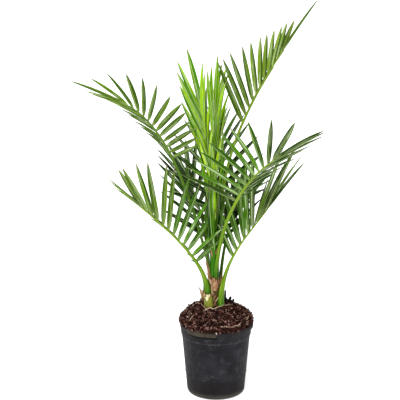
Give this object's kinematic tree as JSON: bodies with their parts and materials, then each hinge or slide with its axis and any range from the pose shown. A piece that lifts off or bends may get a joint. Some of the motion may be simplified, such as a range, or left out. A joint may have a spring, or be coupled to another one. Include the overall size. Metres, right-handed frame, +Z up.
{
  "type": "potted canary island date palm",
  "caption": "Young feather-leaved date palm with stiff arching fronds, upright pale new leaves and a short fibrous stem, standing in a heaped round black nursery pot.",
  "frame": {"origin": "centre of the pot's flat underside", "axes": "+Z up the palm, -Y towards the viewer of the picture, +X to the viewer's right, where the tallest frond reaches"},
  "size_m": [0.4778, 0.4114, 0.7896],
  "materials": {
    "pot_plastic": "thin black moulded nursery-pot plastic, scuffed and dusted with dry soil",
    "potting_soil": "coarse fibrous red-brown peat and bark, moist",
    "stem_bark": "fibrous brown and olive stem foot",
    "leaf_base": "olive-green leaf base with a pale cut face",
    "sheath_fibre": "dry papery brown leaf sheath with torn fibres",
    "frond_green": "leathery mid-green leaflets with a paler midrib, satin",
    "frond_young": "bright yellow-green young leaflets, satin",
    "frond_dark": "dark green shaded leaflets, satin"
  },
  "bodies": {
    "root": {"pot": "pot_plastic", "soil": "potting_soil", "stem": "stem_bark", "cut_leaf_base_front": "leaf_base", "sheath_fibre_front": "sheath_fibre", "sheath_fibre_back": "sheath_fibre", "sheath_fibre_left": "sheath_fibre", "frond_front_right": "frond_green", "frond_lower_left": "frond_green", "frond_upper_right": "frond_green", "frond_upper_left": "frond_green", "frond_lower_right": "frond_green", "young_frond_left": "frond_young", "young_frond_right": "frond_young", "spear_leaf": "frond_young", "frond_back_left": "frond_dark", "frond_back_right": "frond_dark", "frond_back": "frond_dark"}
  },
  "joints": []
}
